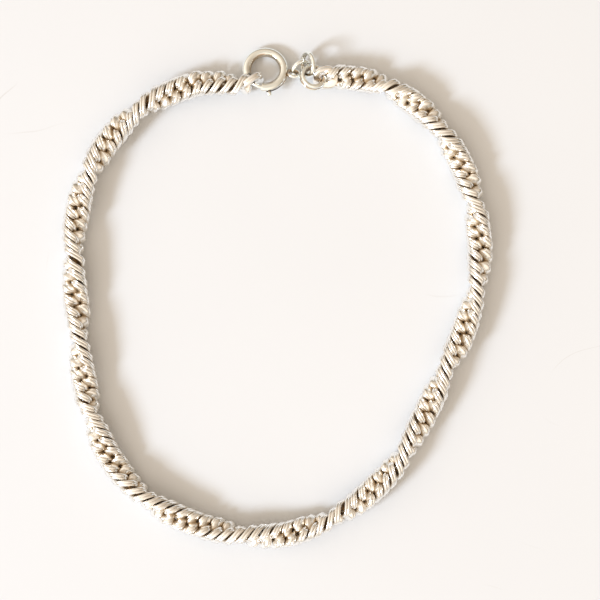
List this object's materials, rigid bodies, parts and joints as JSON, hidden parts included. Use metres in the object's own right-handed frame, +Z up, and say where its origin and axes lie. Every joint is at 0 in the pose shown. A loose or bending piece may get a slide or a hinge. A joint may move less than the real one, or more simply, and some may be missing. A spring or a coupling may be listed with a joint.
{
  "type": "chain bracelet",
  "caption": "Slim twisted-link chain bracelet lying fastened in a wide loop, with a round sprung ring clasp and small jump rings at its top.",
  "frame": {"origin": "centre of the fastened loop's outline, on the surface it lies on", "axes": "+Z up out of that surface, +Y towards the clasp, +X to the right seen from above"},
  "size_m": [0.0573, 0.0668, 0.0036],
  "materials": {
    "chain_silver": "polished silver, darker in its recesses",
    "clasp_silver": "bright polished silver"
  },
  "bodies": {
    "bracelet": {"chain_left": "chain_silver", "chain_right": "chain_silver", "spring_ring": "clasp_silver", "eye_ring": "clasp_silver", "middle_ring": "clasp_silver", "end_ring": "clasp_silver"},
    "tongue": {"spring_tongue": "clasp_silver"}
  },
  "joints": [
    {"name": "clasp_slide", "type": "hinge", "parent": "bracelet", "child": "tongue", "pos_m": [-0.0016, 0.0304, 0.00106], "axis": [0, 0.2079, 0.9781], "range_deg": [0, 44], "stiffness_Nm_per_rad": 0.0005, "springref_deg": -17.19}
  ]
}
